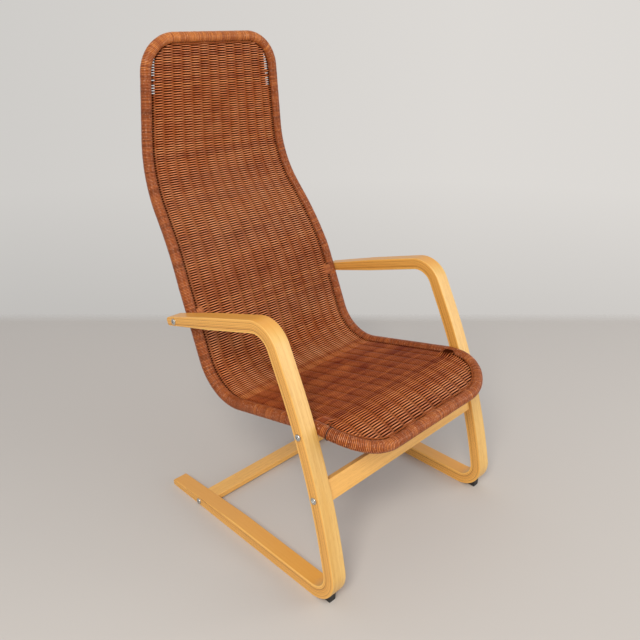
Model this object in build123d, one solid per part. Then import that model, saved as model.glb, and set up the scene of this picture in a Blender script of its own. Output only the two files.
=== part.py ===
from build123d import *
import os
from math import radians, tan

# A high-backed lounge armchair: a woven cane shell hung between two bent laminated side frames.
# Millimetres. Side views are drawn with y running back from the front of the bends and z up.
# The chair faces -Y, and left and right are the sitter's.

# Side frames
overall_width = 570.0
strip_width = 38.0
strip_thickness = 28.5
strip_edge_round = 2.0
runner_run = 511.5
runner_taper_length = 250.0
runner_tip_thickness = 15.0
runner_tip_round = 4.5
bottom_bend_radius = 49.5
knee_radius = 1515.0
lower_leg_lean = 10.1
upper_leg_lean = 25.9
upper_leg_run = 65.5
top_bend_radius = 57.5
arm_slope = 15.8
arm_tail = 31.0
arm_taper_length = 165.0
arm_tip_thickness = 20.0
arm_tip_round = 7.0
taper_blend_radius = 260.0

# Shell, as its middle surface in side view, from the front edge to the top of the head rest
nose_overhang = 22.0
nose_height = 339.5
nose_pitch = 31.0
nose_radius = 190.0
seat_pitch = 12.4
seat_run = 237.0
seat_bend_radius = 112.0
lumbar_pitch = 67.5
lumbar_run = 141.0
lumbar_radius = 750.0
shoulder_pitch = 52.8
shoulder_run = 37.5
neck_radius = 275.0
head_pitch = 89.5
head_run = 234.0

# Shell, as its flat outline
head_width = 378.0
front_corner_radius = 105.0
top_corner_radius = 85.0
side_blend_radius = 500.0
taper_lead = 70.0
panel_thickness = 6.6
stake_count = 13
stake_edge_gap = 19.5
rib_width = 12.0
rib_thickness = 10.4
rim_diameter = 26.0
hoop_diameter = 20.0
hoop_wall = 1.5
border_diameter = 5.0
border_corner_share = 0.5
rim_steps = 60

# Cross boards
rail_depth = 45.0
rail_thickness = 14.0
rail_height = 240.0
rail_bolt_inset = 18.5
stretcher_width = 40.0
stretcher_thickness = 13.5
stretcher_floor_gap = 4.0
stretcher_setback = 96.0
stretcher_bolt_inset = 17.0
board_edge_round = 1.5

# Fasteners
bolt_diameter = 6.0
bolt_head_diameter = 14.5
bolt_head_height = 3.6
bolt_head_edge = 1.2
bolt_socket = 4.0
bolt_socket_depth = 2.0
bolt_reach = 38.0
bolt_end_past_nut = 1.5
nut_width = 10.0
nut_height = 5.0
washer_diameter = 15.0
washer_thickness = 1.6
bush_diameter = 10.0
barrel_diameter = 10.0
barrel_length = 10.5
barrel_setback = 30.0
dowel_diameter = 8.0
dowel_length = 36.0
dowel_spacing = 13.0
nut_pocket_diameter = 26.0
nut_pocket_depth = 9.0

# Front feet
foot_width = 17.0
foot_setback = 19.5
foot_length = 30.0
foot_draft = 4.0
screw_diameter = 4.0
screw_head_diameter = 8.0
screw_head_height = 2.5
screw_length = 22.0
screw_head_recess = 2.0

# Fits
hole_clearance = 0.3
seat_gap = 0.3
contact_gap = 0.1

inner_face = overall_width / 2 - strip_width
outer_face = overall_width / 2
strip_middle = (inner_face + outer_face) / 2
rim_radius = rim_diameter / 2
rim_half = inner_face - seat_gap - rim_radius


def bent_line(start, heading, moves, side=0.0):
    """Edges of a line of runs and turns, moved to its left by side. A turn is (radius, degrees)."""
    ahead = Vector(1, 0).rotate(Axis.Z, heading)
    spot = Vector(start) + ahead.rotate(Axis.Z, 90) * side
    edges = []
    for move in moves:
        if isinstance(move, tuple):
            radius, turn = move
            bent = radius - side if turn > 0 else radius + side
            edges.append(JernArc(spot, ahead, bent, turn))
        else:
            edges.append(Line(spot, spot + ahead * move))
        spot = edges[-1] @ 1
        ahead = edges[-1] % 1
    return edges


def meeting(one, other):
    """The point where two lines cross."""
    near, far = one.closest_points(other)
    return (near + far) * 0.5


def side_view(face, x_from, x_to):
    """The solid of a side-view face between two planes across the chair."""
    return Pos(x_from, 0, 0) * extrude(Plane.YZ * face, amount=x_to - x_from)


def across(at, x_from, x_to, diameter):
    """A round bar along X at a side-view point."""
    middle = Pos((x_from + x_to) / 2, at.X, at.Y)
    return middle * Rot(0, 90, 0) * Cylinder(diameter / 2, abs(x_to - x_from))


def hexagon_bar(at, x_from, width, length):
    """A hexagonal bar that runs inwards from x_from at a side-view point."""
    section = RegularPolygon(width / 2, 6, major_radius=False)
    return extrude(Plane((x_from, at.X, at.Y), z_dir=(-1, 0, 0)) * section, amount=length)


def mirrored(right):
    """The other half of a pair."""
    return mirror(right, about=Plane.YZ)


# The shell's middle line, from the front edge over the seat and up the back
nose_tip = Vector(-nose_overhang, nose_height)
shell_moves = [
    (nose_radius, -(nose_pitch + seat_pitch)),
    seat_run,
    (seat_bend_radius, seat_pitch + lumbar_pitch),
    lumbar_run,
    (lumbar_radius, -(lumbar_pitch - shoulder_pitch)),
    shoulder_run,
    (neck_radius, head_pitch - shoulder_pitch),
    head_run,
]
shell_line = Wire(bent_line(nose_tip, nose_pitch, shell_moves))
shell_length = shell_line.length

# The strip's middle line, from the back of the runner round to the arm rest
bend_start = Vector(bottom_bend_radius + strip_thickness / 2, strip_thickness / 2)
runner_back = bend_start + Vector(runner_run, 0)
leg_moves = [
    (bottom_bend_radius, -(90 + lower_leg_lean)),
    (knee_radius, -(upper_leg_lean - lower_leg_lean)),
    upper_leg_run,
    (top_bend_radius, -(90 - upper_leg_lean + arm_slope)),
]
leg_edges = bent_line(bend_start, 180, leg_moves)
arm_start = leg_edges[-1] @ 1
arm_ahead = leg_edges[-1] % 1
arm_bolt = meeting(Line(arm_start, arm_start + arm_ahead * shell_length), shell_line)
seat_bolt = meeting(Wire(leg_edges[1:3]), shell_line)
arm_end = arm_bolt + arm_ahead * arm_tail


def tapered_run(start, end, taper_length, tip_side):
    """A run that leans towards tip_side over its last stretch, with a soft start to the taper."""
    back = (start - end).normalized()
    bend = end + back * taper_length
    return FilletPolyline(start, bend, end + tip_side, radius=[taper_blend_radius])


def strip_face():
    """The side view of one bent strip, thinned at the end of the arm rest and of the runner."""
    half = strip_thickness / 2
    under = bent_line(bend_start, 180, leg_moves, half)
    over = bent_line(bend_start, 180, leg_moves, -half)
    to_top = arm_ahead.rotate(Axis.Z, 90) * half
    thinning = 1 - arm_tip_thickness / strip_thickness
    arm_top = tapered_run(under[-1] @ 1, arm_end + to_top, arm_taper_length, to_top * -thinning)
    arm_under = tapered_run(over[-1] @ 1, arm_end - to_top, arm_taper_length, to_top * thinning)
    floor_line = Line(Vector(runner_back.X, 0), under[0] @ 0)
    runner_drop = Vector(0, runner_tip_thickness - strip_thickness)
    runner_top = tapered_run(over[0] @ 0, runner_back + Vector(0, half), runner_taper_length, runner_drop)
    ends = [Line(arm_top @ 1, arm_under @ 1), Line(runner_top @ 1, floor_line @ 0)]
    tapers = [*arm_top.edges(), *arm_under.edges(), *runner_top.edges()]
    face = make_face([*under, *over, *tapers, floor_line, *ends])
    arm_corners = [v for v in face.vertices() if (Vector(v) - arm_end).length < strip_thickness]
    face = fillet(arm_corners, arm_tip_round)
    tip = Vector(runner_back.X, 0)
    tip_corners = [v for v in face.vertices() if (Vector(v) - tip).length < runner_tip_thickness * 1.5]
    return fillet(tip_corners, runner_tip_round)


# Rail and stretcher places on the strips
leg_curve = leg_edges[1]
level_line = Line((-strip_thickness, rail_height), (shell_length, rail_height))
rail_bolt = meeting(leg_curve, level_line)
up_leg = leg_curve.tangent_at(rail_bolt)
rail_dowel = rail_bolt + up_leg * dowel_spacing
rail_middle = rail_bolt + up_leg * (rail_depth / 2 - rail_bolt_inset)
rail_plane = Plane((0, rail_middle.X, rail_middle.Y), x_dir=(1, 0, 0), z_dir=(0, -up_leg.Y, up_leg.X))
stretcher_level = stretcher_floor_gap + stretcher_thickness / 2
stretcher_bolt = Vector(runner_back.X - stretcher_setback - stretcher_bolt_inset, stretcher_level)
stretcher_dowel = stretcher_bolt - Vector(dowel_spacing, 0)
stretcher_middle = stretcher_bolt + Vector(stretcher_bolt_inset - stretcher_width / 2, 0)
stretcher_plane = Plane(origin=(0, stretcher_middle.X, stretcher_middle.Y))
screw_spot = foot_setback + foot_length * 0.4

bolt_hole = bolt_diameter + 2 * hole_clearance
dowel_hole = dowel_diameter + 2 * contact_gap
dowel_inner = inner_face - dowel_length / 2
dowel_outer = inner_face + dowel_length / 2
barrel_middle = inner_face - barrel_setback
bolt_end = inner_face - bolt_reach
rim_inner = inner_face - 2 * seat_gap - rim_diameter
nut_face = rim_inner - washer_thickness
nut_end = nut_face - nut_height


def side_frame():
    """The strip on the left of the chair, drilled for its bolts, dowels and foot screw."""
    frame = side_view(strip_face(), inner_face, outer_face)
    frame = fillet([e for e in frame.edges() if abs(e.tangent_at(0.5).X) < 0.5], strip_edge_round)
    for at in (arm_bolt, seat_bolt, rail_bolt, stretcher_bolt):
        frame -= across(at, inner_face - strip_width, outer_face + strip_width, bolt_hole)
    for at in (rail_dowel, stretcher_dowel):
        frame -= across(at, dowel_inner, dowel_outer + contact_gap, dowel_hole)
    return frame - Pos(strip_middle, screw_spot, screw_length / 2) * Cylinder(
        screw_diameter / 2 + hole_clearance, screw_length + 2 * screw_head_recess + 2 * hole_clearance
    )


def bolt(at, end):
    """A low domed socket bolt put in from the outer face of the left strip."""
    head_top = outer_face + bolt_head_height
    head = across(at, outer_face, head_top, bolt_head_diameter)
    head = fillet(head.edges().group_by(Axis.X)[-1], bolt_head_height - bolt_head_edge)
    head -= hexagon_bar(at, head_top, bolt_socket, bolt_socket_depth)
    return head + across(at, end, outer_face, bolt_diameter)


def board(plane, depth, thickness, bolt_at, dowel_at):
    """A cross board between the strips, bored at both ends."""
    blank = plane * Box(2 * inner_face, depth, thickness)
    blank = fillet(blank.edges().filter_by(Axis.X), board_edge_round)
    shift = plane.to_local_coords(Vector(0, bolt_at.X, bolt_at.Y)).Y
    pocket = plane * Pos(barrel_middle, shift, -thickness / 2) * Cylinder(
        barrel_diameter / 2 + contact_gap, thickness + barrel_length + 2 * contact_gap
    )
    for cut in (
        across(bolt_at, bolt_end - hole_clearance, inner_face, bolt_hole),
        across(dowel_at, dowel_inner - contact_gap, inner_face, dowel_hole),
        pocket,
    ):
        blank = blank - cut - mirrored(cut)
    return blank


def barrel_nuts(plane, bolt_at):
    """The pair of cross dowel nuts that a board's bolts screw into."""
    shift = plane.to_local_coords(Vector(0, bolt_at.X, bolt_at.Y)).Y
    nut = plane * Pos(barrel_middle, shift, 0) * Cylinder(barrel_diameter / 2, barrel_length)
    nut -= across(bolt_at, bolt_end - barrel_diameter, inner_face, bolt_hole)
    return pair(nut)


def pair(right):
    """A piece and its mirror image as two separate solids."""
    return Compound(children=[right.solid(), mirrored(right).solid()])


def shell_point(x, along, lift=0.0):
    """A point of the shell at x, along its middle line from the front edge, raised towards the sitter."""
    share = min(max(along / shell_length, 0.0), 1.0)
    spot = shell_line.position_at(share)
    ahead = shell_line.tangent_at(share)
    return Vector(x, spot.X - ahead.Y * lift, spot.Y + ahead.X * lift)


taper_start = shell_line.param_at_point(arm_bolt) * shell_length + taper_lead


def outline(inset):
    """Half of the shell's flat outline, from the middle of the front edge to the middle of the top."""
    corners = [
        (0, inset),
        (rim_half - inset, inset),
        (rim_half - inset, taper_start),
        (head_width / 2 - inset, shell_length - inset),
        (0, shell_length - inset),
    ]
    radii = [front_corner_radius - inset, side_blend_radius, top_corner_radius - inset]
    return FilletPolyline(*corners, radius=radii)


def smooth_path(points):
    """A path of straight runs and wide tangent arcs through points that aren't in line."""
    kept = [points[0]]
    for here, after in zip(points[1:], points[2:]):
        if (here - kept[-1]).get_angle(after - here) > 0.4:
            kept.append(here)
    kept.append(points[-1])
    radii = []
    for before, here, after in zip(kept, kept[1:], kept[2:]):
        shorter = min((here - before).length, (after - here).length)
        turn = (here - before).get_angle(after - here)
        radii.append(0.45 * shorter / tan(radians(turn / 2)))
    return FilletPolyline(*kept, radius=radii)


def tube(path, diameter):
    """A round bar along a path."""
    return sweep(Plane(path @ 0, x_dir=(0, 0, 1), z_dir=path % 0) * Circle(diameter / 2), path=path)


def through_bushes(clearance):
    """Bars where the four bushes cross the rim, on the left of the chair."""
    diameter = bush_diameter + 2 * clearance
    return [across(at, rim_inner - diameter, inner_face + diameter, diameter) for at in (arm_bolt, seat_bolt)]


rim_outline = outline(0.0)
rim_spots = [rim_outline @ (i / rim_steps) for i in range(rim_steps + 1)]
rim_path = smooth_path([shell_point(spot.X, spot.Y) for spot in rim_spots])


def ring(outer_diameter, inner_diameter):
    """A closed tube round the whole shell, with cross holes for the bushes."""
    half = tube(rim_path, outer_diameter) - tube(rim_path, inner_diameter)
    for hole in through_bushes(contact_gap):
        half -= hole
    return half + mirrored(half)


def sheet(thickness):
    """The shell as a plain sheet of even thickness, from the middle of the chair out past the rim."""
    upper = bent_line(nose_tip, nose_pitch, shell_moves, thickness / 2)
    lower = bent_line(nose_tip, nose_pitch, shell_moves, -thickness / 2)
    ends = [Line(upper[0] @ 0, lower[0] @ 0), Line(upper[-1] @ 1, lower[-1] @ 1)]
    return side_view(make_face([*upper, *lower, *ends]), 0, rim_half + rim_diameter)


def stake_slab(number):
    """The space of one rib, counted from the middle of the shell. It leans in where the back narrows."""
    share = number / ((stake_count - 1) / 2)
    seat_x = share * (rim_half - rim_radius - stake_edge_gap)
    head_x = share * (head_width / 2 - rim_radius - stake_edge_gap)
    edge = outline(rim_radius + border_diameter + rib_width / 2 + 2 * seat_gap)
    front = meeting(Line((seat_x, 0), (seat_x, taper_start)), edge)
    top = meeting(Line((seat_x, taper_start), (head_x, shell_length)), edge)
    front_y = shell_point(0, front.Y).Y
    bend_z = shell_point(0, taper_start).Z
    top_z = shell_point(0, top.Y).Z
    back_y = shell_point(0, shell_length).Y + rib_thickness
    half = rib_width / 2
    right = [(seat_x + half, 0), (seat_x + half, bend_z), (top.X + half, top_z)]
    left = [(max(x - rib_width, 0), z) for x, z in right]
    face = make_face(Polyline(*right, *reversed(left), close=True))
    return extrude(Plane((0, back_y, 0), x_dir=(1, 0, 0), z_dir=(0, -1, 0)) * face, amount=back_y - front_y)


def woven_panel():
    """The weave inside the rim, as one sheet with a rib at each stake and a pocket at each nut."""
    weave = sheet(panel_thickness) - tube(rim_path, rim_diameter + 2 * seat_gap)
    half = weave.solids().sort_by(SortBy.VOLUME)[-1]
    for at in (arm_bolt, seat_bolt):
        half -= across(at, rim_inner - nut_pocket_depth, rim_half, nut_pocket_diameter)
    for number in range((stake_count + 1) // 2):
        half += sheet(rib_thickness) & stake_slab(number)
    return half + mirrored(half)


def border(share_from, share_to):
    """Half of a border rod that lies on the weave against the rim."""
    inset = rim_radius + border_diameter / 2 + seat_gap
    line = outline(inset)
    lift = (panel_thickness + border_diameter) / 2 + contact_gap
    count = rim_steps // 4
    spots = [line @ (share_from + (share_to - share_from) * i / count) for i in range(count + 1)]
    half = tube(smooth_path([shell_point(spot.X, spot.Y, lift) for spot in spots]), border_diameter)
    return half + mirrored(half)


def border_share(width, corner_radius):
    """How much of the half outline a border rod follows: the straight edge and part of the corner."""
    inset = rim_radius + border_diameter / 2 + seat_gap
    corner = radians(90) * (corner_radius - inset) * border_corner_share
    return (width / 2 - corner_radius + corner) / outline(inset).length


def foot():
    """The rubber block that fills the gap under the left front bend."""
    outer_radius = bottom_bend_radius + strip_thickness / 2
    back = foot_setback + foot_length
    top_front = (foot_setback - foot_draft, outer_radius)
    block = make_face(Polyline((foot_setback, 0), (back, 0), (back, outer_radius), top_front, close=True))
    block -= Pos(bend_start.X, outer_radius) * Circle(outer_radius + contact_gap)
    body = side_view(block, strip_middle - foot_width / 2, strip_middle + foot_width / 2)
    body = body.solids().sort_by(Axis.Z)[0]
    shank_radius = screw_diameter / 2 + contact_gap
    shank = Pos(strip_middle, screw_spot, outer_radius / 2) * Cylinder(shank_radius, outer_radius)
    head = Pos(strip_middle, screw_spot, 0) * Cylinder(
        screw_head_diameter / 2 + contact_gap, 2 * (screw_head_recess + screw_head_height)
    )
    return body - shank - head


def foot_screw():
    """The pan head wood screw that holds the left foot."""
    head_top = screw_head_recess + screw_head_height
    head = Pos(strip_middle, screw_spot, screw_head_recess + screw_head_height / 2) * Cylinder(
        screw_head_diameter / 2, screw_head_height
    )
    shank_length = screw_length - head_top
    shank_middle = Pos(strip_middle, screw_spot, head_top + shank_length / 2)
    return head + shank_middle * Cylinder(screw_diameter / 2, shank_length)


def washer(at):
    """A flat washer on the inner side of the rim."""
    return across(at, nut_face, rim_inner, washer_diameter) - across(at, nut_end, inner_face, bolt_hole)


def nut(at):
    """A hexagon nut on the inner side of the rim."""
    blank = hexagon_bar(at, nut_face, nut_width, nut_height)
    return blank - across(at, nut_end - nut_height, inner_face, bolt_hole)


def bush(at):
    """The spacer tube that carries the clamping force through the rim."""
    return across(at, rim_inner, inner_face, bush_diameter) - across(at, nut_end, outer_face, bolt_hole)


shell_bolt_end = nut_end - bolt_end_past_nut
left_frame = side_frame()
left_foot = foot()
front_share = border_share(2 * rim_half, front_corner_radius)
top_share = border_share(head_width, top_corner_radius)

nodes = {
    "left_side_frame": left_frame,
    "right_side_frame": mirrored(left_frame),
    "front_rail": board(rail_plane, rail_depth, rail_thickness, rail_bolt, rail_dowel),
    "rear_stretcher": board(
        stretcher_plane, stretcher_width, stretcher_thickness, stretcher_bolt, stretcher_dowel
    ),
    "left_foot": left_foot,
    "right_foot": mirrored(left_foot),
    "foot_screws": pair(foot_screw()),
    "arm_bolts": pair(bolt(arm_bolt, shell_bolt_end)),
    "seat_bolts": pair(bolt(seat_bolt, shell_bolt_end)),
    "rail_bolts": pair(bolt(rail_bolt, bolt_end)),
    "stretcher_bolts": pair(bolt(stretcher_bolt, bolt_end)),
    "rail_barrel_nuts": barrel_nuts(rail_plane, rail_bolt),
    "stretcher_barrel_nuts": barrel_nuts(stretcher_plane, stretcher_bolt),
    "rail_dowels": pair(across(rail_dowel, dowel_inner, dowel_outer, dowel_diameter)),
    "stretcher_dowels": pair(across(stretcher_dowel, dowel_inner, dowel_outer, dowel_diameter)),
    "shell_hoop": ring(hoop_diameter, hoop_diameter - 2 * hoop_wall),
    "rim_wrap": ring(rim_diameter, hoop_diameter + 2 * contact_gap),
    "woven_panel": woven_panel(),
    "front_border": border(0.0, front_share),
    "top_border": border(1.0, 1.0 - top_share),
    "arm_bushes": pair(bush(arm_bolt)),
    "seat_bushes": pair(bush(seat_bolt)),
    "arm_washers": pair(washer(arm_bolt)),
    "seat_washers": pair(washer(seat_bolt)),
    "arm_nuts": pair(nut(arm_bolt)),
    "seat_nuts": pair(nut(seat_bolt)),
}

# The origin goes to the floor, under the middle of the whole chair
whole = Compound(children=[nodes["rim_wrap"].solid(), left_frame.solid()]).bounding_box()
to_origin = Pos(0, -(whole.min.Y + whole.max.Y) / 2, 0)

os.makedirs("parts", exist_ok=True)
for name, shape in nodes.items():
    export_step(Compound(children=[to_origin * solid for solid in shape.solids()]), f"parts/{name}.step")
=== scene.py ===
from math import cos, hypot, pi, radians, sin, tan

import bpy
import numpy as np
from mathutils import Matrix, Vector


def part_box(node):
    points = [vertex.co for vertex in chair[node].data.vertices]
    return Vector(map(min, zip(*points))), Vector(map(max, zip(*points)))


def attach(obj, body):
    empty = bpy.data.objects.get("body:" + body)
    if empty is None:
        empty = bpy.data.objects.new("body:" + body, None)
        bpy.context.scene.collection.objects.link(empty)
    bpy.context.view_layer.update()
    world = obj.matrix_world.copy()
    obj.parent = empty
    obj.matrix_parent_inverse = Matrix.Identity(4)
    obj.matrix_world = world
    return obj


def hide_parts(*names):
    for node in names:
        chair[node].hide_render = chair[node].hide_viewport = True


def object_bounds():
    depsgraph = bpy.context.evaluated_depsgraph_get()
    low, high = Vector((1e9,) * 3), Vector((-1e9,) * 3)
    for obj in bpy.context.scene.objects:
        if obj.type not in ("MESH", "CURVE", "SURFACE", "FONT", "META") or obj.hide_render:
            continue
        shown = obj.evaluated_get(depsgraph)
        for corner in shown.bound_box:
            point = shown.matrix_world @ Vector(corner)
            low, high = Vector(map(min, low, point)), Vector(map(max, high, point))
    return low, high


# A high-backed lounge armchair: a shell of woven cane, hung by bolts between two side frames of bent
# laminated wood. The chair faces -Y, left and right are the sitter's, and lengths are in metres.
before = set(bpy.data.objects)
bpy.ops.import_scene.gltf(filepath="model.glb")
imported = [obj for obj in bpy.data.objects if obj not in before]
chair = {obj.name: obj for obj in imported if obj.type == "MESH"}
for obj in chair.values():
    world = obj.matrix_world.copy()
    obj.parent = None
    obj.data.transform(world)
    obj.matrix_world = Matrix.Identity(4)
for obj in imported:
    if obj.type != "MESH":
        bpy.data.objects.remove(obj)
cad_low, cad_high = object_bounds()

# Side frames. Each is one strip of pale veneers, glued over a form so that arm rest, leg and runner are
# one bent piece, then planed, eased along its edges and lacquered. The veneers show as lines on its sides.
strip_thickness = 0.0285
strip_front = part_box("left_side_frame")[0].y
bottom_bend_radius = 0.0495
bottom_turn = radians(100.1)
knee_radius = 1.515
knee_turn = radians(15.8)
upper_leg_run = 0.0655
top_bend_radius = 0.0575
top_turn = radians(79.9)
arm_run_limit = 1.0
below_floor = -1.0
leg_lowest = 0.05
arm_lowest = 0.3
veneer_count = 8
veneer = strip_thickness / veneer_count
widest_glue_line = 0.36
pale_veneer = (0.84, 0.54, 0.175, 1)
warm_veneer = (0.71, 0.39, 0.09, 1)
upward_veneer = (0.76, 0.335, 0.05, 1)
pale_edge = (1.0, 0.555, 0.13, 1)
deep_edge = (0.77, 0.355, 0.064, 1)
glue_brown = (0.24, 0.075, 0.011, 1)
pore_brown = (0.5, 0.21, 0.045, 1)
# Grain: marks in a metre of length and in a metre of width, or for the glue from veneer to veneer.
streak_grain = (2.2, 70.0)
line_grain = (5.0, 230.0)
fibre_grain = (14.0, 620.0)
pore_grain = (45.0, 900.0)
edge_grain = (9.0, 900.0)
glue_grain = (5.0, 1.0)
strip_figure = 0.0
# Marks: the part of a random pattern in which each one fades in, and how strongly it shows.
streak_range = (0.32, 0.7)
dark_line_range = (0.5, 0.66)
dark_line_share = 0.85
pale_line_range = (0.42, 0.28)
pale_line_share = 0.5
pore_range = (0.56, 0.72)
pore_share = 0.5
edge_range = (0.25, 0.7)
glued_layers = (0.35, 1.0)
glue_range = (0.3, 0.5)
glue_share = 0.95
# Facing: how far a face looks up before it is darker, and sideways before it shows the veneers' edges.
upward_facing = (0.7, 0.95)
upward_share = 0.82
edge_facing = (0.55, 0.85)
# Lacquer: satin, thin enough to leave the fibres to be felt.
fibre_bump = 0.12
fibre_depth = 0.0004
lacquer_roughness = (0.34, 0.5)
lacquer_coat = 0.15
lacquer_coat_roughness = 0.3


def finish(name):
    """A new finish, with its node tree and its surface shader."""
    material = bpy.data.materials.new(name)
    material.use_nodes = True
    return material, material.node_tree, material.node_tree.nodes["Principled BSDF"]


def plug(tree, node, inputs):
    """Sets a node's inputs to plain values or to the outputs of other nodes."""
    for name, value in inputs.items():
        if isinstance(value, bpy.types.NodeSocket):
            tree.links.new(value, node.inputs[name])
        else:
            node.inputs[name].default_value = value


def add(tree, kind, inputs=None, **settings):
    """A new shader node."""
    made = tree.nodes.new("ShaderNode" + kind)
    for name, value in settings.items():
        setattr(made, name, value)
    plug(tree, made, inputs or {})
    return made


def reckon(tree, operation, *values):
    """A sum on numbers and node outputs."""
    return add(tree, "Math", dict(enumerate(values)), operation=operation).outputs[0]


def times(tree, first, second):
    """The product of two values."""
    return reckon(tree, "MULTIPLY", first, second)


def blend_number(tree, share, low, high):
    """A number between low and high."""
    return add(tree, "Mix", {0: share, 2: low, 3: high}).outputs[0]


def blend_colour(tree, share, first, second):
    """A colour between two others."""
    return add(tree, "Mix", {0: share, 6: first, 7: second}, data_type="RGBA").outputs[2]


def stretch(tree, value, low, high):
    """A value's range from low to high as 0 to 1, held at both ends."""
    return add(tree, "MapRange", {0: value, 1: low, 2: high, 3: 0.0, 4: 1.0}).outputs[0]


def mottle(tree, vector, scale, detail=3.0):
    """Soft random light and dark, from 0 to 1."""
    inputs = {"Vector": vector, "Scale": scale, "Detail": detail, "Roughness": 0.55}
    return add(tree, "TexNoise", inputs).outputs["Fac"]


def random_tone(tree, number):
    """A random value from 0 to 1 for each whole number."""
    return add(tree, "TexWhiteNoise", {"W": number}, noise_dimensions="1D").outputs["Value"]


def raised(tree, height, strength, depth):
    """A surface direction with small bumps."""
    return add(tree, "Bump", {"Strength": strength, "Distance": depth, "Height": height}).outputs[0]


def join(tree, x, y, z):
    """Three numbers as one vector."""
    return add(tree, "CombineXYZ", {0: x, 1: y, 2: z}).outputs[0]


def parted(tree, vector):
    """A vector's three numbers."""
    return add(tree, "SeparateXYZ", {0: vector}).outputs


def object_place(tree):
    """Where a point lies on the chair."""
    return add(tree, "TexCoord").outputs["Object"]


def coat(material, *names):
    """Gives a finish to pieces of the chair."""
    for name in names:
        chair[name].data.materials.clear()
        chair[name].data.materials.append(material)


def strip_coordinates(tree):
    """How far a point lies along the bent strip, how far outside its middle line, and across the chair."""
    across, from_back, z = parted(tree, object_place(tree))
    y = reckon(tree, "SUBTRACT", from_back, strip_front)

    def dot(from_y, from_z, along_y, along_z):
        over = times(tree, reckon(tree, "SUBTRACT", y, from_y), along_y)
        up = times(tree, reckon(tree, "SUBTRACT", z, from_z), along_z)
        return reckon(tree, "ADD", over, up)

    spot = (bottom_bend_radius + strip_thickness / 2, strip_thickness / 2)
    heading = pi
    length = 0.0
    along = reckon(tree, "SUBTRACT", spot[0], y)
    outside = reckon(tree, "SUBTRACT", spot[1], z)
    # From the runner to the arm rest: bend radius or None, turn or straight run, least height.
    moves = (
        (bottom_bend_radius, bottom_turn, below_floor),
        (knee_radius, knee_turn, leg_lowest),
        (None, upper_leg_run, arm_lowest),
        (top_bend_radius, top_turn, arm_lowest),
        (None, arm_run_limit, arm_lowest),
    )
    for radius, amount, lowest in moves:
        ahead = (cos(heading), sin(heading))
        reached = reckon(tree, "GREATER_THAN", dot(*spot, *ahead), 0.0)
        here = times(tree, reached, reckon(tree, "GREATER_THAN", z, lowest))
        if radius:
            centre = (spot[0] + radius * ahead[1], spot[1] - radius * ahead[0])
            back = reckon(tree, "SUBTRACT", centre[0], y)
            rise = reckon(tree, "SUBTRACT", z, centre[1])
            square = reckon(tree, "ADD", times(tree, back, back), times(tree, rise, rise))
            this_outside = reckon(tree, "SUBTRACT", reckon(tree, "SQRT", square), radius)
            turned = reckon(tree, "SUBTRACT", heading, reckon(tree, "ARCTAN2", back, rise))
            this_along = reckon(tree, "MULTIPLY_ADD", turned, radius, length)
            heading -= amount
            spot = (centre[0] - radius * sin(heading), centre[1] + radius * cos(heading))
            length += radius * amount
        else:
            this_outside = dot(*spot, -ahead[1], ahead[0])
            this_along = reckon(tree, "ADD", dot(*spot, *ahead), length)
            spot = (spot[0] + amount * ahead[0], spot[1] + amount * ahead[1])
            length += amount
        along = blend_number(tree, here, along, this_along)
        outside = blend_number(tree, here, outside, this_outside)
    return along, outside, across


def grain_lines(tree, along, across, figure, per_length, per_width, detail=3.0):
    """Soft lines that run with the grain."""
    run = times(tree, along, per_length)
    side = times(tree, across, per_width)
    return mottle(tree, join(tree, run, side, figure), 1.0, detail)


def pale_grain(tree, shader, along, across, figure, pale, warm):
    """Straight-grained pale wood: long soft streaks, fine lines, short pores and a satin lacquer."""
    streaks = grain_lines(tree, along, across, figure, *streak_grain)
    lines = grain_lines(tree, along, across, figure, *line_grain)
    fibres = grain_lines(tree, along, across, figure, *fibre_grain, detail=2.0)
    pores = grain_lines(tree, along, across, figure, *pore_grain, detail=1.0)
    dark_lines = times(tree, stretch(tree, lines, *dark_line_range), dark_line_share)
    pale_lines = times(tree, stretch(tree, lines, *pale_line_range), pale_line_share)
    pore_marks = times(tree, stretch(tree, pores, *pore_range), pore_share)
    colour = blend_colour(tree, stretch(tree, streaks, *streak_range), pale, warm)
    colour = blend_colour(tree, dark_lines, colour, warm)
    colour = blend_colour(tree, pale_lines, colour, pale)
    colour = blend_colour(tree, pore_marks, colour, pore_brown)
    plug(tree, shader, {
        "Normal": raised(tree, fibres, fibre_bump, fibre_depth),
        "Roughness": blend_number(tree, fibres, *lacquer_roughness),
        "Coat Weight": lacquer_coat,
        "Coat Roughness": lacquer_coat_roughness,
    })
    return colour


bent_laminate, tree, shader = finish("bent_laminate")
along, outside, across = strip_coordinates(tree)
layers = reckon(tree, "DIVIDE", reckon(tree, "ADD", outside, strip_thickness), veneer)
layer = reckon(tree, "FLOOR", layers)
broad_colour = pale_grain(tree, shader, along, across, strip_figure, pale_veneer, warm_veneer)
layer_tone = random_tone(tree, layer)
edge_streaks = grain_lines(tree, along, outside, layer, *edge_grain)
edge_tone = times(tree, reckon(tree, "ADD", layer_tone, edge_streaks), 0.5)
edge_colour = blend_colour(tree, stretch(tree, edge_tone, *edge_range), pale_edge, deep_edge)
line_width = times(tree, stretch(tree, layer_tone, *glued_layers), widest_glue_line)
glue = reckon(tree, "LESS_THAN", reckon(tree, "FRACT", layers), line_width)
glue_break = grain_lines(tree, along, layer, layer, *glue_grain)
glue = times(tree, glue, stretch(tree, glue_break, *glue_range))
edge_colour = blend_colour(tree, times(tree, glue, glue_share), edge_colour, glue_brown)
facing = parted(tree, add(tree, "NewGeometry").outputs["Normal"])
# Faces that look up are made darker, by their facing alone.
upward = times(tree, stretch(tree, facing[2], *upward_facing), upward_share)
broad_colour = blend_colour(tree, upward, broad_colour, upward_veneer)
sideways = stretch(tree, reckon(tree, "ABSOLUTE", facing[0]), *edge_facing)
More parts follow.
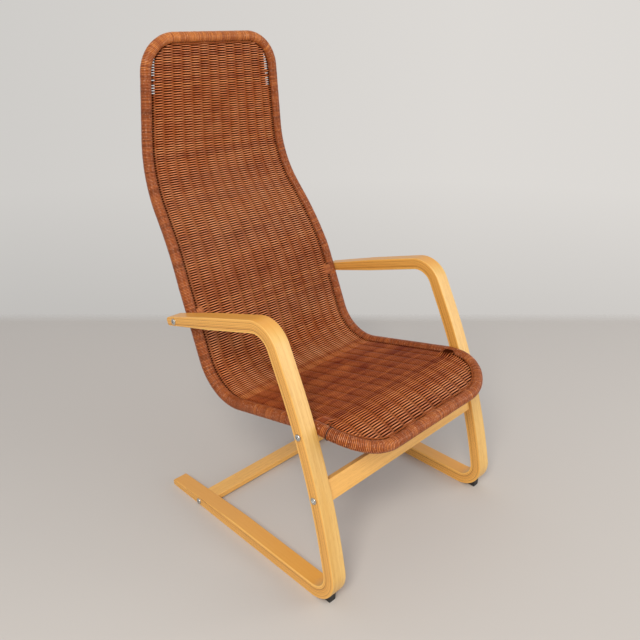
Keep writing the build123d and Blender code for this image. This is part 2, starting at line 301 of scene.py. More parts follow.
plug(tree, shader, {"Base Color": blend_colour(tree, sideways, broad_colour, edge_colour)})
coat(bent_laminate, "left_side_frame", "right_side_frame")

# Front rail and rear stretcher. Two boards of the same pale wood, cut from solid stock with the grain along
# their length, bolted and dowelled between the side frames. They hold the frames upright and apart.
board_pale = (0.9, 0.5, 0.125, 1)
board_warm = (0.78, 0.4, 0.085, 1)
board_figure = 4.0
board_slant = 1.7
board_wood, tree, shader = finish("board_wood")
x, y, z = parted(tree, object_place(tree))
depth = reckon(tree, "ADD", y, times(tree, z, board_slant))
colour = pale_grain(tree, shader, x, depth, board_figure, board_pale, board_warm)
plug(tree, shader, {"Base Color": colour})
coat(board_wood, "front_rail", "rear_stretcher")

# Dowels. Short fluted pegs of bare wood, glued into the ends of both boards and into the strips, where
# they stop a board turning on its single bolt.
dowel_tone = (0.7, 0.5, 0.28, 1)
dowel_figure = 9.0
dowel_wood, tree, shader = finish("dowel_wood")
x, y, z = parted(tree, object_place(tree))
colour = pale_grain(tree, shader, x, z, dowel_figure, dowel_tone, board_warm)
plug(tree, shader, {"Base Color": colour})
coat(dowel_wood, "rail_dowels", "stretcher_dowels")

# Feet. Black rubber wedges under the front bends, moulded to the curve and held by a wood screw each. They
# fill the gap that the bend leaves at the floor.
rubber_black = (0.012, 0.012, 0.013, 1)
rubber_worn = (0.035, 0.034, 0.033, 1)
rubber_grain = 900.0
rubber_wear = (0.4, 0.8)
rubber_bump = 0.2
rubber_depth = 0.0003
rubber_roughness = 0.62
black_rubber, tree, shader = finish("black_rubber")
skin = mottle(tree, object_place(tree), rubber_grain)
plug(tree, shader, {
    "Base Color": blend_colour(tree, stretch(tree, skin, *rubber_wear), rubber_black, rubber_worn),
    "Normal": raised(tree, skin, rubber_bump, rubber_depth),
    "Roughness": rubber_roughness,
})
coat(black_rubber, "left_foot", "right_foot")

# Bolts, nuts, washers, bushes and screws. Zinc plated steel, turned and pressed, with low domed heads on
# the outer faces of the strips and a hexagon socket in each head.
zinc_bright = (0.66, 0.67, 0.66, 1)
zinc_dull = (0.42, 0.43, 0.42, 1)
zinc_bloom = 420.0
zinc_bloom_range = (0.35, 0.7)
zinc_scratches = 2600.0
zinc_roughness = (0.22, 0.42)
plated_steel, tree, shader = finish("plated_steel")
place = object_place(tree)
bloom = mottle(tree, place, zinc_bloom)
scratches = mottle(tree, place, zinc_scratches, detail=1.0)
plug(tree, shader, {
    "Base Color": blend_colour(tree, stretch(tree, bloom, *zinc_bloom_range), zinc_bright, zinc_dull),
    "Roughness": blend_number(tree, scratches, *zinc_roughness),
    "Metallic": 1.0,
})
coat(
    plated_steel, "arm_bolts", "seat_bolts", "rail_bolts", "stretcher_bolts", "arm_nuts", "seat_nuts",
    "arm_washers", "seat_washers", "arm_bushes", "seat_bushes", "rail_barrel_nuts", "stretcher_barrel_nuts",
    "foot_screws",
)

# Shell hoop. A steel tube bent to the outline of seat and back, lacquered black, and hidden by the cane
# that is wound round it.
hoop_black = (0.02, 0.02, 0.02, 1)
hoop_bare = (0.09, 0.085, 0.08, 1)
hoop_chips = 160.0
hoop_chip_range = (0.55, 0.75)
hoop_roughness = 0.4
hoop_steel, tree, shader = finish("hoop_steel")
chips = mottle(tree, object_place(tree), hoop_chips)
plug(tree, shader, {
    "Base Color": blend_colour(tree, stretch(tree, chips, *hoop_chip_range), hoop_black, hoop_bare),
    "Roughness": hoop_roughness,
})
coat(hoop_steel, "shell_hoop")

# Stakes. Round canes that run from the front edge over the seat and up the back, fanned out so that they
# stay evenly spaced between the sides of the rim. The weavers are worked across them.
nose_tip = (-0.022, 0.3395)
nose_pitch = radians(31.0)
# The shell in side view, from the front edge: bend radius and turn, or straight run and None.
shell_moves = (
    (0.190, radians(-43.4)), (0.237, None), (0.112, radians(79.9)), (0.141, None),
    (0.750, radians(-14.7)), (0.0375, None), (0.275, radians(36.7)), (0.234, None),
)
between_frames = 0.494
rim_clearance = 0.0003
rim_radius = 0.013
rim_half_width = between_frames / 2 - rim_clearance - rim_radius
head_half_width = 0.189
front_corner_radius = 0.105
top_corner_radius = 0.085
side_blend_radius = 0.5
back_start = 0.5
arm_height = 0.477
taper_lead = 0.07
taper_foot_lead = 0.1
weave_tuck = 0.0015
stake_count = 13
outer_stake = (stake_count - 1) / 2
stake_edge_gap = 0.0195
stake_radius = 0.0019
stake_step = 0.005
stake_sides = 8
stake_tones = (0.0, 0.3)
# The stakes are painted dark all over, as painted shade under the weavers.
stake_shade = -0.3
cane_dark = (0.28, 0.032, 0.005, 1)
cane_red = (0.7, 0.172, 0.038, 1)
cane_orange = (0.9, 0.29, 0.078, 1)
# Pale scuff colour. On the weave's crest tops it is partly a painted highlight.
cane_scuff = (0.92, 0.5, 0.31, 1)
cane_worn_and_painted_light = (0.83, 0.36, 0.175, 1)
cane_hollow_shade = (0.045, 0.008, 0.002, 1)
cane_sheen = (1.0, 0.8, 0.62, 1)
# Rub and shade: how far a spot on a cane is open to hands, clothes and light. Crests are, and are rubbed
# pale;
# hollows and the undersides of rows aren't, and are painted dark as painted shade.
cane_rub_and_shade = 0.18
crest_rub_and_shade = 0.62
upper_rub_and_shade = 0.15
level_rub_and_shade = 0.15
crest_sharpness = 6
# Stain: patches and specks in a metre, and what they do to a cane's shade and wear.
cane_patches = 22.0
cane_specks = 420.0
tone_share = 0.5
patch_share = 0.8
patch_wear = (0.8, -0.4)
darkening_share = 0.3
red_range = (0.08, 0.66)
orange_range = (0.62, 1.03)
worn_and_painted_light_range = (0.0, 1.0)
scuff_and_highlight_specks = (0.3, 0.65)
scuff_and_highlight_crest = (0.65, 0.95)
scuff_and_highlight_wear = (-1.0, 0.4)
scuff_and_highlight_share = 0.6
unshaded_range = (0.15, 0.8)
shaded_to_unshaded_gloss = (0.0, 0.5)
cane_roughness = (0.3, 0.52)
cane_bump = 0.25
cane_bump_depth = 0.0004


def shell_line(step=0.0005):
    """The shell's middle line in side view: lengths, y, z and headings at small steps."""
    heading = nose_pitch
    y, z, length = nose_tip[0] + strip_front, nose_tip[1], 0.0
    rows = [[(0.0, y, z, heading)]]
    for amount, turn in shell_moves:
        run = amount if turn is None else amount * abs(turn)
        s = np.linspace(0, run, int(run / step) + 2)[1:]
        if turn is None:
            ys, zs, hs = y + s * cos(heading), z + s * sin(heading), np.full(len(s), heading)
        else:
            side = np.sign(turn)
            hs = heading + turn * s / run
            ys = y + side * amount * (np.sin(hs) - sin(heading))
            zs = z - side * amount * (np.cos(hs) - cos(heading))
        rows.append(np.stack([length + s, ys, zs, hs], 1))
        y, z, heading, length = ys[-1], zs[-1], hs[-1], length + run
    return np.concatenate(rows).T


line_s, line_y, line_z, line_h = shell_line()
shell_length = line_s[-1]


def shell_points(x, s, lift):
    """Points on the shell, and the directions towards the sitter there."""
    x, s, lift = np.broadcast_arrays(x, s, lift)
    h = np.interp(s, line_s, line_h)
    normals = np.stack([np.zeros_like(h), -np.sin(h), np.cos(h)], -1)
    points = np.stack([x, np.interp(s, line_s, line_y), np.interp(s, line_s, line_z)], -1)
    return points + normals * lift[..., None], normals


def outline(inset, step=0.0005):
    """Half of the shell's flat outline (x, s), from the middle of the front to the middle of the top."""
    taper_start = line_s[np.argmax(line_z * (line_s > back_start) > arm_height)] + taper_lead
    corners = np.array([
        (0, inset), (rim_half_width - inset, inset), (rim_half_width - inset, taper_start),
        (head_half_width - inset, shell_length - inset), (0, shell_length - inset),
    ])
    radii = (front_corner_radius - inset, side_blend_radius, top_corner_radius - inset)
    points = [corners[:1]]
    for before, here, after, radius in zip(corners, corners[1:], corners[2:], radii):
        to = (here - before) / hypot(*(here - before))
        on = (after - here) / hypot(*(after - here))
        turn = np.arccos(np.clip(to @ on, -1, 1))
        start = here - to * radius * tan(turn / 2)
        bend = np.linspace(0, turn, int(radius * turn / step) + 3)
        inward = (on - to * (to @ on)) / sin(turn)
        run = np.linspace(points[-1][-1], start, int(hypot(*(start - points[-1][-1])) / step) + 2)[1:-1]
        arc = start + np.outer(np.sin(bend), to) * radius + np.outer(1 - np.cos(bend), inward) * radius
        points += [run, arc]
    last = points[-1][-1]
    points.append(np.linspace(last, corners[-1], int(hypot(*(corners[-1] - last)) / step) + 2)[1:])
    return np.concatenate(points)


inner_outline = outline(rim_radius - weave_tuck)
side_part = np.flatnonzero(np.diff(inner_outline[:, 1]) > 0)
taper_top = inner_outline[np.argmax(inner_outline[:, 1] > shell_length - 2 * top_corner_radius)]
taper_foot = inner_outline[np.argmax(inner_outline[:, 1] > shell_length / 2 + taper_foot_lead)]


def inner_half(s):
    """Half the width between the rim's inner sides at a place along the shell."""
    return np.interp(s, inner_outline[side_part, 1], inner_outline[side_part, 0])


def stake_spacing(s):
    """The distance between neighbouring stakes at a place along the shell."""
    corner_end = 2 * front_corner_radius
    straight_sides = np.where(s < corner_end, inner_half(corner_end), inner_half(s))
    slope = (taper_top[0] - taper_foot[0]) / (taper_top[1] - taper_foot[1])
    near_top = taper_top[0] + slope * (s - taper_top[1])
    return (np.where(s > taper_top[1], near_top, straight_sides) - stake_edge_gap) / outer_stake


class Bundle:
    """Canes gathered into one mesh, each with its own tone."""

    def __init__(self):
        self.points, self.faces, self.count = [], [], 0
        self.marks = {"tone": [], "rub_and_shade": [], "wear_and_painted_light": []}

    def lay(self, path, up, radius, sides, tone, over=0.0, rub_and_shade=cane_rub_and_shade, height=None, wear_and_painted_light=0.0):
        """Adds one round cane with closed ends. Its crests are rubbed pale, and its hollows and underside
        are painted dark as painted shade.
        """
        ahead = np.gradient(path, axis=0)
        ahead /= np.linalg.norm(ahead, axis=1)[:, None]
        beside = np.cross(ahead, up)
        beside /= np.linalg.norm(beside, axis=1)[:, None]
        above = np.cross(beside, ahead)
        angle = (np.arange(sides) + 0.5) * 2 * pi / sides
        wide = np.outer(np.broadcast_to(radius, len(path)), np.cos(angle))
        high = np.outer(np.broadcast_to(radius if height is None else height, len(path)), np.sin(angle))
        rings = path[:, None] + wide[..., None] * beside[:, None] + high[..., None] * above[:, None]
        i, j = np.meshgrid(np.arange(len(path) - 1), np.arange(sides), indexing="ij")
        k = (j + 1) % sides
        quads = np.stack([i * sides + j, i * sides + k, (i + 1) * sides + k, (i + 1) * sides + j], -1)
        self.faces += (quads.reshape(-1, 4) + self.count).tolist()
        self.faces.append((self.count + np.arange(sides)[::-1]).tolist())
        self.faces.append((self.count + (len(path) - 1) * sides + np.arange(sides)).tolist())
        self.points.append(rings.reshape(-1, 3))
        self.marks["tone"].append(np.repeat(np.broadcast_to(tone, len(path)), sides))
        self.marks["wear_and_painted_light"].append(np.full(len(path) * sides, wear_and_painted_light))
        over = np.broadcast_to(over, len(path))[:, None]
        rub_and_shade = np.broadcast_to(rub_and_shade, len(path))[:, None]
        # The top of an over-row is paler; its underside and the tops of under-rows are darker, partly rub
        # and partly painted shade.
        crest = (crest_rub_and_shade * over * np.sign(np.sin(angle)) + upper_rub_and_shade) * np.sin(angle) ** crest_sharpness
        self.marks["rub_and_shade"].append((rub_and_shade + crest + level_rub_and_shade * (1 - np.abs(over))).ravel())
        self.count += len(path) * sides

    def piece(self, name, material):
        """The finished bundle as one object."""
        mesh = bpy.data.meshes.new(name)
        mesh.from_pydata(np.concatenate(self.points).tolist(), [], self.faces)
        mesh.polygons.foreach_set("use_smooth", np.ones(len(mesh.polygons), bool))
        for label, values in self.marks.items():
            mark = mesh.attributes.new(label, "FLOAT", "POINT")
            mark.data.foreach_set("value", np.concatenate(values).astype(np.float32))
        mesh.materials.append(material)
        made = bpy.data.objects.new(name, mesh)
        bpy.context.scene.collection.objects.link(made)
        return made


def cane_finish(name, low, mid, high):
    """Stained cane: each length has its own tone, paler or darker along the shell as wear and as painted
    light, with scuffs and painted highlights on the high spots, painted shade in the hollows and a satin
    skin.
    """
    material, tree, shader = finish(name)
    place = object_place(tree)
    tone = add(tree, "Attribute", attribute_name="tone").outputs["Fac"]
    rub_and_shade = add(tree, "Attribute", attribute_name="rub_and_shade").outputs["Fac"]
    wear_and_painted_light = add(tree, "Attribute", attribute_name="wear_and_painted_light").outputs["Fac"]
    patches = mottle(tree, place, cane_patches, detail=4.0)
    specks = mottle(tree, place, cane_specks, detail=2.0)
    wear_and_painted_light = reckon(tree, "ADD", wear_and_painted_light, reckon(tree, "MULTIPLY_ADD", patches, *patch_wear))
    shade = reckon(tree, "ADD", times(tree, tone, tone_share), times(tree, patches, patch_share))
    # Below nought the cane is darker, on the seat partly wear and partly painted shade; above nought it
    # turns pale, at the bend partly painted light.
    shade = reckon(tree, "MULTIPLY_ADD", reckon(tree, "MINIMUM", wear_and_painted_light, 0.0), darkening_share, shade)
    colour = blend_colour(tree, stretch(tree, shade, *red_range), low, mid)
    colour = blend_colour(tree, stretch(tree, shade, *orange_range), colour, high)
    colour = blend_colour(tree, stretch(tree, wear_and_painted_light, *worn_and_painted_light_range), colour, cane_worn_and_painted_light)
    # Crest tops turn pale: partly real scuffs, partly a painted highlight.
    scuffs = times(tree, stretch(tree, specks, *scuff_and_highlight_specks), stretch(tree, rub_and_shade, *scuff_and_highlight_crest))
    scuffs = times(tree, scuffs, stretch(tree, wear_and_painted_light, *scuff_and_highlight_wear))
    colour = blend_colour(tree, times(tree, scuffs, scuff_and_highlight_share), colour, cane_scuff)
    # Painted shade: hollows and the undersides of rows are painted near black, with no gloss.
    unshaded_share = stretch(tree, rub_and_shade, *unshaded_range)
    plug(tree, shader, {
        "Base Color": blend_colour(tree, unshaded_share, cane_hollow_shade, colour),
        "Specular IOR Level": blend_number(tree, unshaded_share, *shaded_to_unshaded_gloss),
        "Specular Tint": cane_sheen,
        "Roughness": blend_number(tree, specks, *cane_roughness),
        "Normal": raised(tree, specks, cane_bump, cane_bump_depth),
    })
    return material


draw = np.random.default_rng(7)
woven_cane = cane_finish("woven_cane", cane_dark, cane_red, cane_orange)
stakes = Bundle()
stake_s = np.arange(rim_radius, shell_length - rim_radius, stake_step)
for number in range(stake_count):
    x = (number - outer_stake) * stake_spacing(stake_s)
    inside = np.abs(x) < inner_half(stake_s)
    path, up = shell_points(x[inside], stake_s[inside], 0.0)
    stakes.lay(path, up, stake_radius, stake_sides, draw.uniform(*stake_tones), rub_and_shade=stake_shade)
stakes = stakes.piece("woven_stakes", woven_cane)
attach(stakes, "root")

# Weavers. Single round canes worked across the stakes, over one and under the next, each row the other way
# round, and turned in under the rim's wrap at both sides. They pass over the four nuts and hide them.
weaver_radius = 0.00176
weaver_height = 0.0029
weaver_pitch = 0.003
weaver_swing = 0.0019
weaver_samples = 12
weaver_sides = 6
weaver_girths = (0.97, 1.03)
crest_hold = 3.2
crest_spread = 0.26
row_tuck = 0.0005
# Slits: some rows near the head stop just past the outer stake and leave a gap at the rim.
slit_share = 0.8
slit_from = 0.128
slit_to = 0.018
slit_overhang = 0.2
# Nuts: near one, a row climbs over it. At the left seat nut the climbing rows are painted dark, as a
# painted shadow where the rows would part.
nut_cover_half = 0.009
nut_cover_fall = 0.01
nut_cover_lift = 0.0084
nut_cover_from = 0.196
nut_cover_to = 0.21
nut_cover_reach = 0.003
nut_cover_crest = 0.4
gap_shade_crest_loss = 0.6
gap_shade_loss = 0.2
# Ends: each row is painted dark over its last few millimetres, as the rim's painted shadow.
end_shade_loss = 0.4
end_shade_from = 0.0075
end_shade_fall = 0.004
# Waver: how far a row strays from straight, with its waves across the chair and from row to row.
long_waver = (0.0006, 9, 23)
short_waver = (0.0004, 31, -57)
# Tone: a length of cane makes a few rows, and each crest differs a little.
rows_per_cane = (2, 6)
cane_tone_share = 0.85
crest_tone_share = 0.15
spare_crests = 2
# Wear and painted light: places along the shell from the front edge, and how pale or dark the cane is made
# there.
# It is partly the sitter's wear and partly painted light: paler at the bend, where shade falls, and darker
# on the seat, which the lamps light most.
worn_and_painted_light_places = (
    (0.0, 0.4), (0.05, 0.2), (0.14, -0.9), (0.33, -1.2), (0.43, 0.3), (0.5, 0.1), (0.57, 0.3),
    (0.7, 0.2), (0.79, 0.38), (0.92, 0.32), (1.0, 0.2), (1.2, 0.05), (1.28, 0.2),
)
nut_s = []
for name in ("seat_nuts", "arm_nuts"):
    low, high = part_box(name)
    off_line = np.hypot(line_y - (low.y + high.y) / 2, line_z - (low.z + high.z) / 2)
    nut_s.append(line_s[np.argmin(off_line)])
weavers = Bundle()
first_row = rim_radius - row_tuck
last_row = shell_length - rim_radius + row_tuck
rows = int((last_row - first_row) / weaver_pitch)
cane_tone, cane_end = 0.0, 0
for row in range(rows + 1):
    s = first_row + (last_row - first_row) * row / rows
    spacing = float(stake_spacing(np.array(s)))
    half = float(inner_half(s))
    off_nut = min(abs(s - at) for at in nut_s)
    cover = float(np.clip((nut_cover_half + nut_cover_fall - off_nut) / nut_cover_fall, 0, 1))
    half += nut_cover_reach * cover
    if row % 2 and slit_to < shell_length - s < slit_from and draw.random() < slit_share:
        half = min(half, spacing * (outer_stake + slit_overhang))
    x = np.linspace(-half, half, (stake_count + 1) * weaver_samples + 1)
    stakes_out = np.abs(x) / spacing
    past = (np.abs(x) - outer_stake * spacing) / stake_edge_gap
    over = np.cos(pi * np.where(past < 0, stakes_out, outer_stake + past)) * (-1) ** row
    held = np.tanh(crest_hold * over) / np.tanh(crest_hold)
    lift = weaver_swing * held
    climb = cover * np.clip((np.abs(x) - nut_cover_from) / (nut_cover_to - nut_cover_from), 0, 1)
    lift += (nut_cover_lift - lift) * climb
    # At the left seat nut the climbing rows are painted dark, as painted shadow.
    gap_shade = climb * (x > 0) * (abs(s - nut_s[0]) == off_nut)
    over += (nut_cover_crest - gap_shade_crest_loss * gap_shade - over) * climb
    waver = sum(size * np.sin(x * across + s * along) for size, across, along in (long_waver, short_waver))
    path, up = shell_points(x, s + waver, lift)
    radius = weaver_radius * (1 + crest_spread * np.abs(held)) * draw.uniform(*weaver_girths)
    crest_tones = draw.uniform(0.0, 1.0, stake_count + 2 * spare_crests)
    if row >= cane_end:
        cane_tone = draw.uniform(0.0, 1.0)
        cane_end = row + draw.integers(*rows_per_cane)
    crest_number = np.rint(x / spacing).astype(int) + stake_count // 2 + spare_crests
    tone = cane_tone_share * cane_tone + crest_tone_share * crest_tones[crest_number]
    # Row ends are painted dark under the rim, as painted shadow.
    near_end = np.clip((np.abs(x) - half + end_shade_from) / end_shade_fall, 0, 1)
    rub_and_shade = cane_rub_and_shade - gap_shade_loss * gap_shade - end_shade_loss * near_end * (1 - climb)
    wear_and_painted_light = np.interp(s, *zip(*worn_and_painted_light_places))
    weavers.lay(path, up, radius, weaver_sides, tone, over, rub_and_shade, weaver_height, wear_and_painted_light)
weavers = weavers.piece("woven_rows", woven_cane)
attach(weavers, "root")
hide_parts("woven_panel")

# Rim wrap. Split cane wound tightly round the steel hoop, turn beside turn, all the way round the shell, so
# that the rim is ribbed across. It is painted paler at the top and a little at the front, as painted light.
wrap_pitch = 0.0034
wrap_groove = 0.0008
wrap_rows = 6
wrap_sides = 22
wrap_bulge = 0.00018
wrap_squareness = 4
wrap_aim = 0.001
wrap_low = (0.2, 0.04, 0.008, 1)
wrap_mid = (0.39, 0.09, 0.02, 1)
wrap_high = (0.8, 0.265, 0.062, 1)
wrap_seam = (0.05, 0.008, 0.001, 1)
# Stain: what each turn's own tone, bands, patches and the light at top and front add to the shade.
turn_tone_share = 0.36
wrap_patches = 18.0
wrap_patch_share = 0.4
bands_per_turn = 0.5
band_range = (0.3, 0.7)
band_share = 0.2
top_light_below = (0.1, 0.01)
top_light_share = 0.3
front_light_behind = (0.11, 0.02)
front_light_share = 0.06
wrap_mid_range = (0.2, 0.5)
wrap_high_range = (0.55, 1.0)
wrap_specks = 260.0
wrap_scuff_range = (0.54, 0.74)
wrap_scuff_share = 0.5
seam_range = (0.2, 0.46)
seam_share = 0.95
wrap_to_seam_gloss = (0.5, 0.0)
wrap_roughness = (0.28, 0.5)
half_line = outline(0.0)
round_line = np.concatenate([half_line, half_line[-2:0:-1] * (-1, 1)])
rim_path, rim_up = shell_points(round_line[:, 0], round_line[:, 1], 0.0)
rim_step = np.linalg.norm(np.roll(rim_path, -1, 0) - rim_path, axis=1)
rim_s = np.concatenate([[0.0], np.cumsum(rim_step)])
rim_length = rim_s[-1]
turns = int(rim_length / wrap_pitch)
rib_rows = turns * wrap_rows


def round_rim(values, s):
    """Values along the closed rim at any distance round it."""
    closed = np.concatenate([values, values[:1]])
    return np.stack([np.interp(s % rim_length, rim_s, closed[:, i]) for i in range(values.shape[1])], -1)


row_number, side_number = np.meshgrid(np.arange(rib_rows), np.arange(wrap_sides), indexing="ij")
angle = side_number * 2 * pi / wrap_sides
wound_s = (row_number / wrap_rows - side_number / wrap_sides) * rim_length / turns
middle = round_rim(rim_path, wound_s)
up = round_rim(rim_up, wound_s)
ahead = round_rim(rim_path, wound_s + wrap_aim) - round_rim(rim_path, wound_s - wrap_aim)
beside = np.cross(ahead, up)
beside /= np.linalg.norm(beside, axis=-1)[..., None]
in_turn = (row_number % wrap_rows) / wrap_rows
turn_bulge = draw.uniform(-wrap_bulge, wrap_bulge, turns)[row_number // wrap_rows]
rib = rim_radius - wrap_groove * (2 * in_turn - 1) ** wrap_squareness + turn_bulge
ribbed = middle + rib[..., None] * (np.cos(angle)[..., None] * beside + np.sin(angle)[..., None] * up)
last = side_number == wrap_sides - 1
next_side = np.where(last, 0, side_number + 1)
next_row = np.where(last, row_number - wrap_rows, row_number)
corner = row_number * wrap_sides + side_number
corner_on = (row_number + 1) % rib_rows * wrap_sides + side_number
beyond = next_row % rib_rows * wrap_sides + next_side
beyond_on = (next_row + 1) % rib_rows * wrap_sides + next_side
quads = np.stack([corner, corner_on, beyond_on, beyond], -1).reshape(-1, 4)
mesh = bpy.data.meshes.new("wound_rim")
mesh.from_pydata(ribbed.reshape(-1, 3).tolist(), [], quads.tolist())
mesh.polygons.foreach_set("use_smooth", np.ones(len(mesh.polygons), bool))
winding = mesh.uv_layers.new(name="winding")
around = np.stack([side_number, side_number, side_number + 1, side_number + 1], -1) / wrap_sides
count = np.stack([row_number, row_number + 1, row_number + 1, row_number], -1) / wrap_rows
winding.data.foreach_set("uv", np.stack([around, count], -1).astype(np.float32).ravel())

wrapped_cane, tree, shader = finish("wrapped_cane")
round_share, turn, _ = parted(tree, add(tree, "UVMap", uv_map="winding").outputs[0])
place = object_place(tree)
_, depth, height = parted(tree, place)
bands = mottle(tree, join(tree, times(tree, turn, bands_per_turn), round_share, 0.0), 1.0)
patches = mottle(tree, place, wrap_patches, detail=4.0)
specks = mottle(tree, place, wrap_specks)
tone = random_tone(tree, reckon(tree, "FLOOR", turn))
# Painted light: paler near the top of the head and a little towards the front.
top_light = stretch(tree, height, *(cad_high.z - below for below in top_light_below))
front_light = stretch(tree, depth, *(cad_low.y + behind for behind in front_light_behind))
shade = reckon(tree, "ADD", times(tree, tone, turn_tone_share), times(tree, patches, wrap_patch_share))
shade = reckon(tree, "MULTIPLY_ADD", stretch(tree, bands, *band_range), band_share, shade)
shade = reckon(tree, "MULTIPLY_ADD", top_light, top_light_share, shade)
shade = reckon(tree, "MULTIPLY_ADD", front_light, front_light_share, shade)
colour = blend_colour(tree, stretch(tree, shade, *wrap_mid_range), wrap_low, wrap_mid)
colour = blend_colour(tree, stretch(tree, shade, *wrap_high_range), colour, wrap_high)
scuffs = times(tree, stretch(tree, specks, *wrap_scuff_range), wrap_scuff_share)
colour = blend_colour(tree, scuffs, colour, cane_scuff)
to_seam = reckon(tree, "ABSOLUTE", reckon(tree, "SUBTRACT", reckon(tree, "FRACT", turn), 0.5))
seam = times(tree, stretch(tree, to_seam, *seam_range), seam_share)
plug(tree, shader, {
    "Base Color": blend_colour(tree, seam, colour, wrap_seam),
    "Specular IOR Level": blend_number(tree, seam, *wrap_to_seam_gloss),
    "Specular Tint": cane_sheen,
    "Roughness": blend_number(tree, specks, *wrap_roughness),
})
mesh.materials.append(wrapped_cane)
rim = bpy.data.objects.new("wound_rim", mesh)
bpy.context.scene.collection.objects.link(rim)
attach(rim, "root")
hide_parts("rim_wrap")

# Rim tie. One turn of thin dark cord, drawn tight round the wrap at the front corner on the sitter's right,
# where it holds the cane down.
tie_place = 0.09
tie_radius = 0.0011
tie_points = 41
tie_sides = 7
tie_tone = 0.5
tie_black = (0.02, 0.006, 0.004, 1)
tie_fuzz = 900.0
tie_roughness = 0.7
tie_cord, tree, shader = finish("tie_cord")
fuzz = mottle(tree, object_place(tree), tie_fuzz)
plug(tree, shader, {
    "Base Color": blend_colour(tree, fuzz, tie_black, wrap_seam),
    "Roughness": tie_roughness,
})
knot = np.argmin(np.hypot(round_line[:, 0] + rim_half_width, round_line[:, 1] - tie_place))
ahead = rim_path[knot + 1] - rim_path[knot - 1]
beside = np.cross(ahead, rim_up[knot])
beside /= np.linalg.norm(beside)
turn = np.linspace(0, 2 * pi, tie_points)[:, None]
outward = np.cos(turn) * beside + np.sin(turn) * rim_up[knot]
tie = Bundle()
tie.lay(rim_path[knot] + outward * (rim_radius + tie_radius / 2), outward, tie_radius, tie_sides, tie_tone)
tie = tie.piece("rim_tie", tie_cord)
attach(tie, "root")

# Borders. A pair of thin canes twisted together lies on the weave against the rim, along the front edge and
# along the top, and covers the ends of the stakes.
border_strand = 0.0011
border_sides = 7
border_twist = 0.02
border_step = 0.002
border_gap = 0.0014
border_inset = rim_radius + border_gap
border_lift = 0.0062
border_tones = (0.4, 0.7)
front_corner_share = 1.1
top_corner_share = 0.8
border_line = outline(border_inset)
border_s = np.concatenate([[0.0], np.cumsum(np.hypot(*np.diff(border_line, axis=0).T))])
border_end = border_s[-1]
border_cane = cane_finish("border_cane", cane_dark, cane_red, cane_orange)
borders = {
    "front_border": (0.0, rim_half_width - front_corner_radius + front_corner_radius * front_corner_share),
    "top_border": (border_end - head_half_width + top_corner_radius * top_corner_share, border_end),
}
for name, (start, end) in borders.items():
    bundle = Bundle()
    s = np.linspace(start, end, int((end - start) / border_step))
    x = np.interp(s, border_s, border_line[:, 0])
    along = np.interp(s, border_s, border_line[:, 1])
    order = np.argsort(x)
    x, along = x[order], along[order]
    x = np.concatenate([-x[:0:-1], x])
    along = np.concatenate([along[:0:-1], along])
    path, up = shell_points(x, along, border_lift)
    ahead = np.gradient(path, axis=0)
    ahead /= np.linalg.norm(ahead, axis=1)[:, None]
    beside = np.cross(ahead, up)
    gone = np.concatenate([[0.0], np.cumsum(np.linalg.norm(np.diff(path, axis=0), axis=1))])
    for strand, tone in enumerate(border_tones):
        twist = (2 * pi * gone / border_twist + pi * strand)[:, None]
        wound = path + border_strand * (np.cos(twist) * beside + np.sin(twist) * up)
        bundle.lay(wound, up, border_strand, border_sides, tone)
    piece = bundle.piece("twisted_" + name, border_cane)
    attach(piece, "root")
    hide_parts(name)

# Floor. A plain pale studio floor that fades out behind the chair, where the backdrop begins. It is set out
# from the camera, which stands to the front of the chair on the sitter's right.
view_turn = radians(-44.886)
view_dip = radians(18.755)
camera_place = Vector((-1.0832, -0.7639 + strip_front, 1.1503))
floor_tone = (0.585, 0.545, 0.5, 1)
floor_reach = 2.6
floor_fade = 0.08
floor_half = 7.0
floor_back = -6.0
floor_roughness = 0.75
floor_gloss = 0.25
ahead = Vector((-sin(view_turn), cos(view_turn), 0))
aside = Vector((cos(view_turn), sin(view_turn), 0))
ground = Vector((camera_place.x, camera_place.y, 0))
near, far = ground + ahead * floor_back, ground + ahead * floor_reach
left, right = aside * -floor_half, aside * floor_half
mesh = bpy.data.meshes.new("studio_floor")
mesh.from_pydata([near + left, near + right, far + right, far + left], [], [(0, 1, 2, 3)])
studio_paint, tree, shader = finish("studio_paint")
along_view = {0: object_place(tree), 1: ahead}
gone = add(tree, "VectorMath", along_view, operation="DOT_PRODUCT").outputs["Value"]
far_edge = ground.dot(ahead) + floor_reach
plug(tree, shader, {
    "Alpha": stretch(tree, gone, far_edge, far_edge - floor_fade),
    "Base Color": floor_tone,
    "Roughness": floor_roughness,
    "Specular IOR Level": floor_gloss,
})
mesh.materials.append(studio_paint)
studio = bpy.data.objects.new("studio_floor", mesh)
bpy.context.scene.collection.objects.link(studio)

# Light. One large soft lamp high on the camera's side, a weaker one to the right of the view, and an even
# sky. The camera and glossy surfaces see a pale backdrop in place of the sky, with painted shade that makes
# it darker towards the bottom and towards the left.
lamp_aim = (0.0, 0.0, 0.45)
key_place = (-2.3, -1.6, 2.7)
key_size = 1.2
key_power = 76.0
key_colour = (1.0, 0.97, 0.92)
fill_place = (1.9, -2.5, 1.2)
fill_size = 1.8
fill_power = 32.0
fill_colour = (1.0, 0.98, 0.96)
sky_tone = (0.93, 0.95, 1.0, 1)
sky_level = 0.6
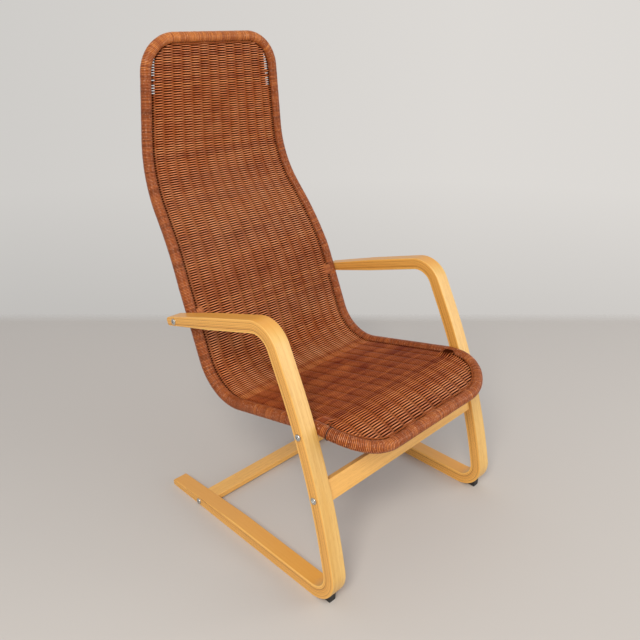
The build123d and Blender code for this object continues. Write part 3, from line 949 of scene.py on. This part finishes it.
# Backdrop tones: painted shade, darker to the left and towards the bottom.
backdrop_left = (0.625, 0.608, 0.585, 1)
backdrop_right = (0.72, 0.695, 0.665, 1)
backdrop_sides = (-0.4, 0.2)
backdrop_heights = (-0.41, -0.22)
backdrop_levels = (0.82, 1.0)


def lamp(name, place, size, power, colour):
    """A square soft lamp that looks at the chair."""
    light = bpy.data.lights.new(name, "AREA")
    light.size = size
    light.energy = power
    light.color = colour
    made = bpy.data.objects.new(name, light)
    made.location = place
    made.rotation_euler = (Vector(lamp_aim) - Vector(place)).to_track_quat("-Z", "Y").to_euler()
    bpy.context.scene.collection.objects.link(made)


lamp("key_lamp", key_place, key_size, key_power, key_colour)
lamp("fill_lamp", fill_place, fill_size, fill_power, fill_colour)
sky = bpy.data.worlds.new("sky")
sky.use_nodes = True
tree = sky.node_tree
light = tree.nodes["Background"]
plug(tree, light, {"Color": sky_tone, "Strength": sky_level})
direction = add(tree, "TexCoord").outputs["Generated"]
sideways = add(tree, "VectorMath", {0: direction, 1: aside}, operation="DOT_PRODUCT").outputs["Value"]
upward = parted(tree, direction)[2]
backdrop = add(tree, "Background", {
    "Color": blend_colour(tree, stretch(tree, sideways, *backdrop_sides), backdrop_left, backdrop_right),
    "Strength": blend_number(tree, stretch(tree, upward, *backdrop_heights), *backdrop_levels),
})
ray = add(tree, "LightPath").outputs
seen = reckon(tree, "MAXIMUM", ray["Is Camera Ray"], ray["Is Glossy Ray"])
seen = reckon(tree, "MAXIMUM", seen, ray["Is Transmission Ray"])
shown = add(tree, "MixShader", {0: seen, 1: light.outputs[0], 2: backdrop.outputs[0]})
plug(tree, tree.nodes["World Output"], {"Surface": shown.outputs[0]})
bpy.context.scene.world = sky
bpy.context.scene.view_settings.view_transform = "Standard"

# Camera. It stands a little above the head of the chair and looks down on it, with the picture shifted so
# that the whole chair is in it.
camera = bpy.data.cameras.new("camera")
camera.sensor_width = 36.0
camera.lens = 39.03
camera.shift_y = -0.1068
camera_stand = bpy.data.objects.new("camera", camera)
camera_stand.location = camera_place
camera_stand.rotation_euler = (pi / 2 - view_dip, 0, view_turn)
bpy.context.scene.collection.objects.link(camera_stand)
bpy.context.scene.camera = camera_stand
